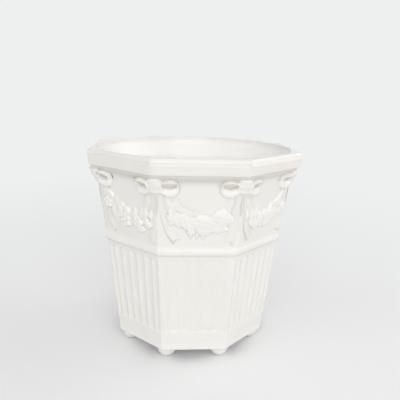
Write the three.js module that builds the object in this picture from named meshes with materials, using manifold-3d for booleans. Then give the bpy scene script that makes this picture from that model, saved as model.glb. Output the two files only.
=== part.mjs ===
// An octagonal flower pot in white glazed earthenware. The vessel flares from its base to a
// plain rim band, with concave flutes below a half-round belt and a frieze above it. Each frieze
// panel carries a swag of leaves, each corner a ribbon bow with two tails, and the base stands on
// eight small feet. The potter makes the ornaments and the feet apart and lutes them on.
// Millimetres, +Z up, front panel facing -Y, origin on the ground under the pot's centre.
import * as THREE from "three";
import { mergeVertices } from "three/addons/utils/BufferGeometryUtils.js";
import Module from "manifold-3d";

const wasm = await Module();
wasm.setup();

// Plan of the vessel: a regular octagon, whose radii are measured to its corners.
const SIDES = 8;
const BASE_RADIUS = 72.1;
const WAIST_RADIUS = 82.4;
const FRIEZE_RADIUS = 83.2;
const NECK_RADIUS = 91.6;
const RIM_RADIUS = 100;

// Heights of the vessel's storeys, from the ground up.
const FOOT_HEIGHT = 9.6;
const FLUTED_HEIGHT = 89.6;
const BELT_HEIGHT = 7;
const FRIEZE_HEIGHT = 54;
const UNDERSIDE_HEIGHT = 7.4;
const BAND_HEIGHT = 9.6;
const LIP_HEIGHT = 3.6;

// Mouldings.
const BASE_BEVEL = 1;
const BELT_PROUD = 2.3;
const NECK_EASE = 3.4;
const BAND_ROUND = 0.8;
const LIP_ROUND = 2.6;

// The inside, which is turned round. The lip is narrowest at the middle of each side.
const LIP_WIDTH = 3.4;
const MOUTH_ROUND = 0.8;
const COLLAR_DEPTH = 8;
const SHOULDER_HEIGHT = 6.5;
const WALL = 5.4;
const FLOOR_THICKNESS = 7;
const FLOOR_FILLET = 8;

// Flutes: the two at a panel's edges are narrower than the rest.
const FLUTES = 7;
const EDGE_FLUTE_SHARE = 0.72;
const FLUTE_DEPTH = 0.9;
const FLUTE_START = 17;
const FLUTE_RISE = 5;
const FLUTE_TOP_GAP = 4;
const FLUTE_LAND = 0.4;
const CORNER_LAND = 0.9;

// Feet.
const FOOT_RADIUS = 7.8;
const FOOT_SOLE_RADIUS = 3.2;
const FOOT_INSET = 10.7;

// Swag, in its panel's plane: an arc of an ellipse that hangs under the two bows.
const SWAG_END_INSET = 9.9;
const SWAG_END_BELOW_NECK = 14.2;
const SWAG_LOW = 20.6;
const SWAG_MIDDLE_HALF = 8.8;
const SWAG_END_HALF = 3.4;
const SWAG_RELIEF = 4.4;
const SWAG_END_RELIEF = 2.6;
const SWAG_SWEEP = THREE.MathUtils.degToRad(80);
const SWAG_LEAVES = 9;
const LEAF_SWELL = 0.16;

// Bow, in its panel's plane: one ribbon loop on each side of a knot. A loop narrows towards the
// knot by the share of its height that pinches it. Its eye lies above its middle and a little out.
const LOOP_HALF_LENGTH = 9;
const LOOP_HALF_HEIGHT = 9;
const LOOP_PINCH = 0.35;
const LOOP_REACH = 19.6;
const LOOP_BELOW_NECK = 2.9;
const LOOP_RELIEF = 4;
const LOOP_END_RELIEF = 2.8;
const EYE_HALF_LENGTH = 5.2;
const EYE_HALF_HEIGHT = 2.4;
const EYE_LIFT = 2.7;
const EYE_OUT = 0.7;
const KNOT_HALF_WIDTH = 6.6;
const KNOT_HALF_HEIGHT = 6.4;
const KNOT_PROUD = 4.2;
const KNOT_LIFT = 0.7;
const KNOT_BLUNTNESS = 0.75;

// Ribbon tails, in their panel's plane. The tips and the points that bend the edges are given as
// distances in from the panel's lower corner and up from the belt.
const TAIL_RELIEF = 1.6;
const TAIL_TOP_WIDTH = 5.2;
const TAIL_CORNER_GAP = 1.9;
const NOTCH_RISE = 6.5;
const NOTCH_SHARE = 0.3;
const LEFT_TAIL = { outerTip: [12.2, 3], innerTip: [19.6, 8.6], outerBend: [0.4, 17], innerBend: [8.4, 22] };
const RIGHT_TAIL = { outerTip: [3.6, 1.6], innerTip: [10.4, 7], outerBend: [-1, 18], innerBend: [5.8, 20] };

// Clearance between a piece and what it is luted to.
const SEAT = 0.3;

const HALF_ANGLE = Math.PI / SIDES;
const TURN = 2 * HALF_ANGLE;
const APOTHEM_SHARE = Math.cos(HALF_ANGLE);
const HALF_WIDTH_SHARE = Math.sin(HALF_ANGLE);

const baseZ = FOOT_HEIGHT;
const beltZ = baseZ + FLUTED_HEIGHT;
const friezeZ = beltZ + BELT_HEIGHT;
const neckZ = friezeZ + FRIEZE_HEIGHT;
const bandZ = neckZ + UNDERSIDE_HEIGHT;
const lipZ = bandZ + BAND_HEIGHT;
const topZ = lipZ + LIP_HEIGHT;

// How finely curved forms are divided, and how far cutters reach past what they cut.
const ROUND_SEGMENTS = 48;
const FOOT_SEGMENTS = 12;
const QUARTER_STEPS = 4;
const FLUTE_STEPS = 5;
const LOOP_STATIONS = 14;
const KNOT_SEGMENTS = 12;
const KNOT_RINGS = 5;
const LEAF_STATIONS = 3;
const SWAG_DOME_STEPS = 5;
const TAIL_STEPS = 5;
const FLUTE_RUN_OUT = 0.2;
const OVERSHOOT = 3;
const QUARTER = Math.PI / 2;

// Lean of a frieze panel from the vertical, its length up the slope, and its half width there.
const friezeFlare = (NECK_RADIUS - FRIEZE_RADIUS) * APOTHEM_SHARE;
const lean = Math.atan2(friezeFlare, FRIEZE_HEIGHT);
const panelHeight = Math.hypot(friezeFlare, FRIEZE_HEIGHT);
const panelHalfFoot = FRIEZE_RADIUS * HALF_WIDTH_SHARE;
const panelHalfTop = NECK_RADIUS * HALF_WIDTH_SHARE;

// A closed mesh as a solid that can be joined and cut.
function toSolid(geometry) {
  const bare = geometry.clone();
  bare.deleteAttribute("normal");
  bare.deleteAttribute("uv");
  const merged = mergeVertices(bare, 1e-3);
  const index = Array.from(merged.index.array);
  const kept = [];
  for (let i = 0; i < index.length; i += 3) {
    const [a, b, c] = index.slice(i, i + 3);
    if (a !== b && b !== c && c !== a) kept.push(a, b, c);
  }
  return new wasm.Manifold(
    new wasm.Mesh({
      numProp: 3,
      vertProperties: merged.attributes.position.array,
      triVerts: new Uint32Array(kept),
    }),
  );
}

// A solid back as a mesh geometry.
function toGeometry(solid) {
  const { vertProperties, triVerts } = solid.getMesh();
  const geometry = new THREE.BufferGeometry();
  geometry.setAttribute("position", new THREE.BufferAttribute(vertProperties, 3));
  geometry.setIndex(new THREE.BufferAttribute(triVerts, 1));
  geometry.computeVertexNormals();
  return geometry;
}

// A closed surface through rings of points with equal counts, each ring running anticlockwise
// when it is looked at from the last one. Without capping, the last ring joins the first.
function loft(rings, capped = true) {
  const count = rings[0].length;
  const positions = rings.flat().flatMap((p) => [p.x, p.y, p.z]);
  const index = [];
  const bands = capped ? rings.length - 1 : rings.length;
  for (let i = 0; i < bands; i += 1) {
    const low = i * count;
    const high = ((i + 1) % rings.length) * count;
    for (let j = 0; j < count; j += 1) {
      const next = (j + 1) % count;
      index.push(low + j, low + next, high + next);
      index.push(low + j, high + next, high + j);
    }
  }
  if (capped) {
    const last = (rings.length - 1) * count;
    for (let j = 1; j < count - 1; j += 1) {
      index.push(0, j + 1, j);
      index.push(last, last + j, last + j + 1);
    }
  }
  const geometry = new THREE.BufferGeometry();
  geometry.setAttribute("position", new THREE.Float32BufferAttribute(positions, 3));
  geometry.setIndex(index);
  geometry.computeVertexNormals();
  return geometry;
}

// A profile of (radius, height) points turned about Z, with a flat side to the front when it
// has eight segments.
function turned(profile, segments, start = 0) {
  const points = profile.map(([radius, z]) => new THREE.Vector2(radius, z));
  return new THREE.LatheGeometry(points, segments, start).rotateX(Math.PI / 2);
}

// Points of an elliptic arc about (x, z), without its first point.
function arc(x, z, radiusX, radiusZ, from, to) {
  const steps = Math.ceil((QUARTER_STEPS * Math.abs(to - from)) / QUARTER);
  const points = [];
  for (let i = 1; i <= steps; i += 1) {
    const angle = THREE.MathUtils.lerp(from, to, i / steps);
    points.push([x + radiusX * Math.cos(angle), z + radiusZ * Math.sin(angle)]);
  }
  return points;
}

// Points of the curve that eases a profile's corner between its two neighbours. It starts and
// ends at a distance from the corner.
function eased(before, corner, after, reach) {
  const tip = new THREE.Vector2(...corner);
  const [start, end] = [before, after].map((point) => {
    const arm = new THREE.Vector2(...point).sub(tip);
    return arm.setLength(reach).add(tip);
  });
  const curve = new THREE.QuadraticBezierCurve(start, tip, end);
  return curve.getPoints(QUARTER_STEPS).map(({ x, y }) => [x, y]);
}

// The vessel's outer profile at a corner, from the axis under the base to the axis at the top.
function outerProfile() {
  const friezeFoot = [FRIEZE_RADIUS, friezeZ];
  const bandFoot = [RIM_RADIUS - BAND_ROUND, bandZ];
  return [
    [0, baseZ],
    [BASE_RADIUS - BASE_BEVEL, baseZ],
    [BASE_RADIUS, baseZ + BASE_BEVEL],
    [WAIST_RADIUS, beltZ],
    ...arc(WAIST_RADIUS, beltZ + BELT_HEIGHT / 2, BELT_PROUD, BELT_HEIGHT / 2, -QUARTER, QUARTER),
    friezeFoot,
    ...eased(friezeFoot, [NECK_RADIUS, neckZ], bandFoot, NECK_EASE),
    bandFoot,
    ...arc(RIM_RADIUS - BAND_ROUND, bandZ + BAND_ROUND, BAND_ROUND, BAND_ROUND, -QUARTER, 0),
    [RIM_RADIUS, lipZ],
    ...arc(RIM_RADIUS - LIP_ROUND, lipZ, LIP_ROUND, LIP_HEIGHT, 0, QUARTER),
    [0, topZ],
  ];
}

// A profile moved outwards by a distance measured to the flat sides.
function grown(profile, distance) {
  const step = distance / APOTHEM_SHARE;
  return profile.map(([radius, z], i) => {
    const [r0, z0] = profile[Math.max(i - 1, 0)];
    const [r1, z1] = profile[Math.min(i + 1, profile.length - 1)];
    const length = Math.hypot(r1 - r0, z1 - z0);
    const moved = radius + (step * (z1 - z0)) / length;
    return [radius === 0 ? 0 : moved, z - (step * (r1 - r0)) / length];
  });
}

function octagonal(profile) {
  return turned(profile, SIDES, HALF_ANGLE);
}

// The round inside: floor, tapering wall, shoulder and collar.
function innerProfile() {
  const floorZ = baseZ + FLOOR_THICKNESS;
  const collarZ = topZ - COLLAR_DEPTH;
  const shoulderZ = collarZ - SHOULDER_HEIGHT;
  const wallTop = NECK_RADIUS * APOTHEM_SHARE - WALL;
  const filletRadius = BASE_RADIUS * APOTHEM_SHARE - WALL - FLOOR_FILLET;
  const filletZ = floorZ + FLOOR_FILLET;
  const mouth = RIM_RADIUS * APOTHEM_SHARE - LIP_WIDTH;
  return [
    [0, floorZ],
    [filletRadius, floorZ],
    ...arc(filletRadius, filletZ, FLOOR_FILLET, FLOOR_FILLET, -QUARTER, 0),
    [wallTop, shoulderZ],
    ...arc(mouth, shoulderZ, mouth - wallTop, SHOULDER_HEIGHT, Math.PI, QUARTER),
    [mouth, topZ - MOUTH_ROUND],
    [mouth + MOUTH_ROUND, topZ],
    [mouth + MOUTH_ROUND, topZ + OVERSHOOT],
    [0, topZ + OVERSHOOT],
  ];
}

// A point of the fluted storey's front panel: across as a share of the panel's half width.
function flutedPoint(share, z, out) {
  const radius = THREE.MathUtils.mapLinear(z, baseZ + BASE_BEVEL, beltZ, BASE_RADIUS, WAIST_RADIUS);
  const halfWidth = radius * HALF_WIDTH_SHARE - CORNER_LAND;
  return new THREE.Vector3(share * halfWidth, -(radius * APOTHEM_SHARE + out), z);
}

// The cutter of one flute between two shares of the panel's half width. Its lower end runs out
// through the surface in a slope, and its upper end is square.
function fluteCutter(left, right) {
  const startZ = baseZ + FLUTE_START;
  const endZ = beltZ - FLUTE_TOP_GAP;
  const section = (z, depth, above = 0) => {
    const ring = [];
    for (let i = 0; i <= FLUTE_STEPS; i += 1) {
      const t = i / FLUTE_STEPS;
      const sunk = 4 * t * (1 - t) * depth;
      ring.push(flutedPoint(THREE.MathUtils.lerp(right, left, t), z, above - sunk));
    }
    ring.push(flutedPoint(left, z, OVERSHOOT), flutedPoint(right, z, OVERSHOOT));
    return ring;
  };
  const width = flutedPoint(right, endZ, 0).x - flutedPoint(left, endZ, 0).x;
  const innerWidth = flutedPoint(innerFluteShare(), endZ, 0).x * 2;
  const depth = (FLUTE_DEPTH * width) / innerWidth;
  return loft([
    section(startZ, 0, FLUTE_RUN_OUT),
    section(startZ + FLUTE_RISE, depth),
    section(endZ, depth),
  ]);
}

// Half the share of a panel's half width that an inner flute takes.
function innerFluteShare() {
  return 1 / (FLUTES - 2 + 2 * EDGE_FLUTE_SHARE);
}

function fluteCutters() {
  const inner = 2 * innerFluteShare();
  const land = FLUTE_LAND / (WAIST_RADIUS * HALF_WIDTH_SHARE);
  const cutters = [];
  let left = -1;
  for (let i = 0; i < FLUTES; i += 1) {
    const atEdge = i === 0 || i === FLUTES - 1;
    const right = left + inner * (atEdge ? EDGE_FLUTE_SHARE : 1);
    cutters.push(fluteCutter(left + land / 2, right - land / 2));
    left = right;
  }
  return cutters;
}

function vesselGeometry() {
  const inside = toSolid(turned(innerProfile(), ROUND_SEGMENTS));
  let vessel = toSolid(octagonal(outerProfile())).subtract(inside);
  for (const cutter of fluteCutters()) {
    for (let side = 0; side < SIDES; side += 1) {
      vessel = vessel.subtract(toSolid(cutter.clone().rotateZ(side * TURN)));
    }
  }
  return toGeometry(vessel);
}

// A foot: a flattened dome that stands on its small sole.
function footGeometry() {
  const height = FOOT_HEIGHT - SEAT;
  const share = FOOT_SOLE_RADIUS / FOOT_RADIUS;
  const sole = Math.acos(share);
  const depth = height / Math.sin(sole);
  const dome = arc(0, height, FOOT_RADIUS, depth, -sole, 0);
  return turned([[0, 0], [FOOT_SOLE_RADIUS, 0], ...dome, [0, height]], FOOT_SEGMENTS);
}

// The swag: a dome section carried along the arc, thick in the middle, with its edge and its
// height swelling at each leaf.
function swagGeometry(grow = 0) {
  const stations = SWAG_LEAVES * LEAF_STATIONS;
  const endY = panelHeight - SWAG_END_BELOW_NECK;
  const halfSpan = (panelHalfTop - SWAG_END_INSET) / Math.sin(SWAG_SWEEP);
  const drop = (endY - SWAG_LOW) / (1 - Math.cos(SWAG_SWEEP));
  const rings = [];
  for (let i = 0; i <= stations; i += 1) {
    const sweep = THREE.MathUtils.lerp(-SWAG_SWEEP, SWAG_SWEEP, i / stations);
    const centre = new THREE.Vector2(halfSpan * Math.sin(sweep), SWAG_LOW + drop * (1 - Math.cos(sweep)));
    const across = new THREE.Vector2(-drop * Math.sin(sweep), halfSpan * Math.cos(sweep)).normalize();
    const leaf = Math.abs(Math.sin((i / LEAF_STATIONS) * Math.PI));
    const swell = 1 - LEAF_SWELL * (1 - leaf);
    const fullness = Math.cos(sweep);
    const half = swell * THREE.MathUtils.lerp(SWAG_END_HALF, SWAG_MIDDLE_HALF, fullness) + grow;
    const relief = swell * THREE.MathUtils.lerp(SWAG_END_RELIEF, SWAG_RELIEF, fullness) + grow;
    const ring = [];
    for (let j = 0; j <= SWAG_DOME_STEPS; j += 1) {
      const angle = (j / SWAG_DOME_STEPS) * Math.PI;
      const place = centre.clone().addScaledVector(across, half * Math.cos(angle));
      ring.push(new THREE.Vector3(place.x, place.y, SEAT - grow + relief * Math.sin(angle)));
    }
    rings.push(ring);
  }
  return loft(rings);
}

// One ribbon loop with its eye, on the right-hand half of a panel when side is 1.
function loopGeometry(side, grow) {
  const centre = new THREE.Vector2(
    panelHalfTop - LOOP_REACH + LOOP_HALF_LENGTH,
    panelHeight - LOOP_BELOW_NECK,
  );
  // The band's section: a share of the way from the eye to the outer edge, and of its height.
  const section = [
    [0, 0],
    [0, 0.8],
    [0.35, 1],
    [0.75, 0.85],
    [1, 0.4],
    [1, 0],
  ];
  const rings = [];
  for (let i = 0; i < LOOP_STATIONS; i += 1) {
    const angle = (i / LOOP_STATIONS) * 2 * Math.PI * side;
    const pinch = THREE.MathUtils.mapLinear(Math.cos(angle), -1, 1, 0, LOOP_PINCH);
    const outer = new THREE.Vector2(
      (LOOP_HALF_LENGTH + grow) * Math.cos(angle),
      (LOOP_HALF_HEIGHT + grow) * (1 - pinch) * Math.sin(angle),
    );
    const eye = new THREE.Vector2(
      (EYE_HALF_LENGTH - grow) * Math.cos(angle) - EYE_OUT,
      EYE_LIFT + (EYE_HALF_HEIGHT - grow) * Math.sin(angle),
    );
    // The band stands highest at the knot's end and lies down towards the loop's far end.
    const rise = THREE.MathUtils.mapLinear(Math.cos(angle), -1, 1, LOOP_END_RELIEF, LOOP_RELIEF) + grow;
    const ring = section.map(([share, height]) => {
      const place = eye.clone().lerp(outer, share).add(centre);
      return new THREE.Vector3(side * place.x, place.y, SEAT - grow + rise * height);
    });
    rings.push(ring);
  }
  return loft(rings, false);
}

// Places a geometry made in a frieze panel's plane: X across, Y up the slope, Z outwards.
function ontoPanel(geometry, panel) {
  return geometry
    .rotateX(Math.PI / 2 + lean)
    .translate(0, -FRIEZE_RADIUS * APOTHEM_SHARE, friezeZ)
    .rotateZ(panel * TURN);
}

// A ball of radius 1 squared off to a pillow: each coordinate goes through a power below one.
function pillow() {
  const ball = new THREE.SphereGeometry(1, KNOT_SEGMENTS, KNOT_RINGS);
  const place = ball.attributes.position;
  const blunt = (value) => Math.sign(value) * Math.abs(value) ** KNOT_BLUNTNESS;
  for (let i = 0; i < place.count; i += 1) {
    place.setXYZ(i, blunt(place.getX(i)), blunt(place.getY(i)), blunt(place.getZ(i)));
  }
  return ball;
}

// The bow at the corner to the right of a panel, before it is fitted to the vessel.
function bowSolid(panel, grow = 0) {
  const knotZ = neckZ - (LOOP_BELOW_NECK - KNOT_LIFT) * Math.cos(lean);
  const cornerRadius = THREE.MathUtils.mapLinear(knotZ, friezeZ, neckZ, FRIEZE_RADIUS, NECK_RADIUS);
  const sunk = KNOT_HALF_WIDTH / 2;
  const knot = pillow()
    .scale(KNOT_PROUD + sunk + grow, KNOT_HALF_WIDTH + grow, KNOT_HALF_HEIGHT + grow)
    .translate(cornerRadius - sunk, 0, knotZ)
    .rotateZ(HALF_ANGLE - QUARTER + panel * TURN);
  return toSolid(knot)
    .add(toSolid(ontoPanel(loopGeometry(1, grow), panel)))
    .add(toSolid(ontoPanel(loopGeometry(-1, grow), panel + 1)));
}

// The front panel's right-hand bow, seated on the vessel.
function bowGeometry() {
  return toGeometry(bowSolid(0).subtract(toSolid(octagonal(grown(outerProfile(), SEAT)))));
}

// A sprig of the front panel, kept clear of the bows on both of its corners.
function clearOfBows(solid) {
  return solid.subtract(bowSolid(0, SEAT)).subtract(bowSolid(-1, SEAT));
}

function garlandGeometry() {
  return toGeometry(clearOfBows(toSolid(ontoPanel(swagGeometry(), 0))));
}

// A ribbon tail of the front panel with a swallow-tail end. It hangs from its bow and passes
// behind the end of the swag.
function tailGeometry(side, { outerTip, innerTip, outerBend, innerBend }) {
  const top = panelHeight - LOOP_BELOW_NECK + KNOT_LIFT - KNOT_HALF_HEIGHT;
  const outerTop = panelHalfTop - TAIL_CORNER_GAP;
  const across = (inset) => side * (panelHalfFoot - inset);
  const notchInset = THREE.MathUtils.lerp(outerTip[0], innerTip[0], NOTCH_SHARE);
  const outline = new THREE.Shape();
  outline.moveTo(side * outerTop, top);
  outline.quadraticCurveTo(across(outerBend[0]), outerBend[1], across(outerTip[0]), outerTip[1]);
  outline.lineTo(across(notchInset), outerTip[1] + NOTCH_RISE);
  outline.lineTo(across(innerTip[0]), innerTip[1]);
  outline.quadraticCurveTo(across(innerBend[0]), innerBend[1], side * (outerTop - TAIL_TOP_WIDTH), top);
  outline.closePath();
  const ribbon = new THREE.ExtrudeGeometry(outline, {
    depth: TAIL_RELIEF,
    bevelEnabled: false,
    curveSegments: TAIL_STEPS,
  }).translate(0, 0, SEAT);
  const swag = toSolid(ontoPanel(swagGeometry(SEAT), 0));
  return toGeometry(clearOfBows(toSolid(ontoPanel(ribbon, 0))).subtract(swag));
}

function glaze(colour) {
  return new THREE.MeshStandardMaterial({ color: colour, roughness: 0.18, metalness: 0 });
}

function named(name, geometry, colour) {
  const mesh = new THREE.Mesh(geometry, glaze(colour));
  mesh.name = name;
  return mesh;
}

const VESSEL_WHITE = 0xf1efea;
const ORNAMENT_WHITE = 0xf3f1ec;
const FOOT_WHITE = 0xebe8e1;

const pot = new THREE.Group();
pot.add(named("pot_body", vesselGeometry(), VESSEL_WHITE));

const foot = footGeometry();
const bow = bowGeometry();
const garland = garlandGeometry();
const leftTail = tailGeometry(-1, LEFT_TAIL);
const rightTail = tailGeometry(1, RIGHT_TAIL);

for (let side = 0; side < SIDES; side += 1) {
  const number = side + 1;
  const sector = new THREE.Group();
  sector.rotation.z = side * TURN;

  const footArm = new THREE.Group();
  footArm.rotation.z = HALF_ANGLE;
  const footMesh = named(`foot_${number}`, foot, FOOT_WHITE);
  footMesh.position.y = -(BASE_RADIUS - FOOT_INSET);
  footArm.add(footMesh);

  sector.add(
    footArm,
    named(`bow_${number}`, bow, ORNAMENT_WHITE),
    named(`garland_${number}`, garland, ORNAMENT_WHITE),
    named(`ribbon_tail_left_${number}`, leftTail, ORNAMENT_WHITE),
    named(`ribbon_tail_right_${number}`, rightTail, ORNAMENT_WHITE),
  );
  pot.add(sector);
}

export default pot;
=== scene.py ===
"""The looks of an octagonal flower pot in white glazed earthenware.

The pot is one casting with sprigs luted on: a vessel on eight small feet, a bow at each corner,
two ribbon tails below each bow and a garland on each side of the frieze. Every piece stands for
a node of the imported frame. Sizes are millimetres in the frame's axes, with +Z up and the front
side facing -Y, and they become metres where a mesh is made.
"""

import logging
import math
from dataclasses import dataclass, field
from enum import Enum

import bpy
import numpy as np
from mathutils import Matrix, Vector


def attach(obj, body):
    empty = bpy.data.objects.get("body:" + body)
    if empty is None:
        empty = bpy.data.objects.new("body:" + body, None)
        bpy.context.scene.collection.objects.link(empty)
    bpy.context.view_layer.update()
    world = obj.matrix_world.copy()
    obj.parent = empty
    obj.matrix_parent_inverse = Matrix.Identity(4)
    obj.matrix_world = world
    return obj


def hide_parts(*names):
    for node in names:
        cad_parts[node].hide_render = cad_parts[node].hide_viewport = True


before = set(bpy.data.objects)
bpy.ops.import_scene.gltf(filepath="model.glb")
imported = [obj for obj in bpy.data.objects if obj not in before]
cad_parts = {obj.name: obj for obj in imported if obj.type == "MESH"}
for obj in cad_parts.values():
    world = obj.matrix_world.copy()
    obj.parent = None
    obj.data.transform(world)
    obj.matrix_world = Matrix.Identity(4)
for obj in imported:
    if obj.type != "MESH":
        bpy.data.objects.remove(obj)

log = logging.getLogger("flower_pot")

MM = 0.001
BODY = "root"
# The glaze share attribute: pooled glaze, and also painted shade where it is high and painted light where
# it is low.
POOL_AND_LIGHT = "pool_and_painted_light"

# Where nothing stands, a sheet lies a hair inside the wall, and its back a little deeper, in millimetres.
HAIR = 0.05
BACK = 0.6

# Past its outline, the height of a leaf or a flower falls by this much a millimetre, down to the floor.
FALL = 3.2
FALL_FLOOR = -3.0

SIDES = 8
TURN = 2 * math.pi / SIDES
COS_HALF = math.cos(TURN / 2)
SIN_HALF = math.sin(TURN / 2)

Array = np.ndarray
Point = tuple[float, float]
Colour = tuple[float, float, float]
Inputs = dict[str | int, float | tuple[float, ...] | bpy.types.NodeSocket]
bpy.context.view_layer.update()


class Hand(Enum):
    """The end of a panel that a ribbon tail belongs to, seen from outside."""

    LEFT = -1
    RIGHT = 1


class Design(Enum):
    """The arrangement of a garland."""

    LEAFY = "leafy"
    FLOWERY = "flowery"
    MIXED = "mixed"


def smooth_step(low: float, high: float, value: Array) -> Array:
    """Rises from 0 at low to 1 at high, level at both ends: 3 t squared less 2 t cubed.

    Args:
        low: the value where the rise starts.
        high: the value where it ends.
        value: where to work it out.

    Returns:
        The share risen, 0 to 1.
    """
    t = np.clip((value - low) / (high - low), 0.0, 1.0)
    return t * t * (3 - 2 * t)


def soft_max(first: Array, second: Array, blend: float) -> Array:
    """The larger of two heights with the crease between them filled, as glaze fills it.

    It is blend times the logarithm of the sum of the exponentials of both over blend.

    Args:
        first: one height.
        second: the other height.
        blend: about how far the fillet reaches, in millimetres.

    Returns:
        The blended height.
    """
    return blend * np.logaddexp(first / blend, second / blend)


def stacked(*parts: Array | float) -> Array:
    """Lays arrays or numbers that fit each other side by side on a new last axis.

    Args:
        parts: the arrays or numbers.

    Returns:
        The stacked array.
    """
    return np.stack(np.broadcast_arrays(*parts), axis=-1)


def arc(centre: Point, radii: Point, first: float, last: float, count: int) -> Array:
    """Points of an elliptic arc: the centre plus the radii times cosine and sine.

    Args:
        centre: radius and height of the centre.
        radii: half axes across and up.
        first: angle of the first point in radians.
        last: angle of the last point in radians.
        count: number of points.

    Returns:
        The points as rows.
    """
    angle = np.linspace(first, last, count)
    return stacked(centre[0] + radii[0] * np.cos(angle), centre[1] + radii[1] * np.sin(angle))


def bent(start: Array, bend: Array, end: Array, count: int) -> Array:
    """Points of a parabola: one less t squared of the start, 2 t less of the bend, t squared of the end.

    Args:
        start: first point.
        bend: the point that both ends look at.
        end: last point.
        count: number of points.

    Returns:
        The points as rows.
    """
    t = np.linspace(0, 1, count)[:, None]
    return (1 - t) ** 2 * start + 2 * t * (1 - t) * bend + t ** 2 * end


def eased(before: Point, corner: Point, after: Point, reach: float, count: int) -> Array:
    """Points of a parabola that eases a profile's corner between its two neighbours.

    Args:
        before: a point of the run into the corner.
        corner: the corner.
        after: a point of the run out of it.
        reach: distance from the corner to the curve's ends.
        count: number of points.

    Returns:
        The points as rows.
    """
    tip = np.array(corner)
    ends = []
    for point in (before, after):
        arm = np.array(point) - tip
        length = np.linalg.norm(arm)
        ends.append(tip + arm * min(reach, length) / length)
    return bent(ends[0], tip, ends[1], count)


@dataclass(frozen=True)
class Plan:
    """Sizes that the sub-assemblies share: corner radii and heights of the vessel's storeys.

    Attributes:
        base_radius: corner radius at the base.
        waist_radius: corner radius under the belt.
        frieze_radius: corner radius on top of the belt.
        neck_radius: corner radius at the top of the frieze.
        band_radius: corner radius where the rim's underside meets the band.
        rim_radius: corner radius of the rim's band.
        base_z: height of the underside above the ground.
        belt_z: height of the belt's lower edge.
        frieze_z: height of the belt's upper edge.
        neck_z: height of the frieze's top.
        band_z: height of the rim band's lower edge.
        lip_z: height where the band turns into the lip.
        top_z: height of the lip.
    """

    base_radius: float = 72.1
    waist_radius: float = 82.4
    frieze_radius: float = 83.2
    neck_radius: float = 91.6
    band_radius: float = 98.2
    rim_radius: float = 100.0
    base_z: float = 9.6
    belt_z: float = 99.2
    frieze_z: float = 106.2
    neck_z: float = 160.2
    band_z: float = 167.6
    lip_z: float = 177.2
    top_z: float = 180.8

    @property
    def climb(self) -> Point:
        """How far a frieze panel comes out and how far it rises, from its foot to its top."""
        return (self.neck_radius - self.frieze_radius) * COS_HALF, self.neck_z - self.frieze_z

    @property
    def lean(self) -> float:
        """Angle of a frieze panel from the vertical, in radians."""
        return math.atan2(*self.climb)

    @property
    def panel_height(self) -> float:
        """Length of a frieze panel up its slope."""
        return math.hypot(*self.climb)

    @property
    def half_foot(self) -> float:
        """Half the width of a frieze panel at its foot."""
        return self.frieze_radius * SIN_HALF

    @property
    def half_top(self) -> float:
        """Half the width of a frieze panel at its top."""
        return self.neck_radius * SIN_HALF

    def on_panel(self, side: int, across: Array, up: Array, out: Array) -> Array:
        """Places points given in a frieze panel's own plane.

        Across runs to the right and up runs along the slope. A point goes out along the panel's
        normal, which looks outwards and a little down, and then turns about Z with its side.

        Args:
            side: number of eighth turns from the front side, anticlockwise from above.
            across: distances to the right of the panel's middle.
            up: distances up the slope from the belt.
            out: distances off the panel.

        Returns:
            Points in the pot's frame, with x, y and z on the last axis.
        """
        depth = -self.frieze_radius * COS_HALF - up * math.sin(self.lean) - out * math.cos(self.lean)
        height = self.frieze_z + up * math.cos(self.lean) - out * math.sin(self.lean)
        return turned(stacked(across, depth, height), side * TURN)


def turned(points: Array, angle: float) -> Array:
    """Turns points about the Z axis.

    Args:
        points: x, y and z on the last axis.
        angle: radians, anticlockwise from above.

    Returns:
        The turned points.
    """
    cos, sin = math.cos(angle), math.sin(angle)
    x, y, z = points[..., 0], points[..., 1], points[..., 2]
    return stacked(cos * x - sin * y, sin * x + cos * y, z)


@dataclass(frozen=True)
class Unevenness:
    """The slight unevenness of a slip-cast wall, as a field over the whole pot.

    Attributes:
        depth: the most that the wall stands in or out.
        wavelength: about how long its waves are.
        waves: how many waves are laid over each other.
        seed: start of the random directions and phases.
    """

    depth: float = 0.16
    wavelength: float = 62.0
    waves: int = 6
    seed: int = 7

    def settle(self, points: Array) -> Array:
        """Moves points in or out from the Z axis by the mean of a few plane sine waves.

        Args:
            points: x, y and z on the last axis.

        Returns:
            The moved points, at the same heights.
        """
        draw = np.random.default_rng(self.seed)
        moved = points.copy()
        wave = np.zeros(points.shape[:-1])
        for _ in range(self.waves):
            direction = draw.normal(size=3)
            direction /= np.linalg.norm(direction)
            stride = self.wavelength * draw.uniform(0.8, 1.6)
            wave += np.sin(2 * math.pi * (points @ direction) / stride + draw.uniform(0, 2 * math.pi))
        radius = np.maximum(np.hypot(points[..., 0], points[..., 1]), 1.0)
        share = self.depth * wave / self.waves / radius
        moved[..., :2] += points[..., :2] * share[..., None]
        return moved


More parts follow.
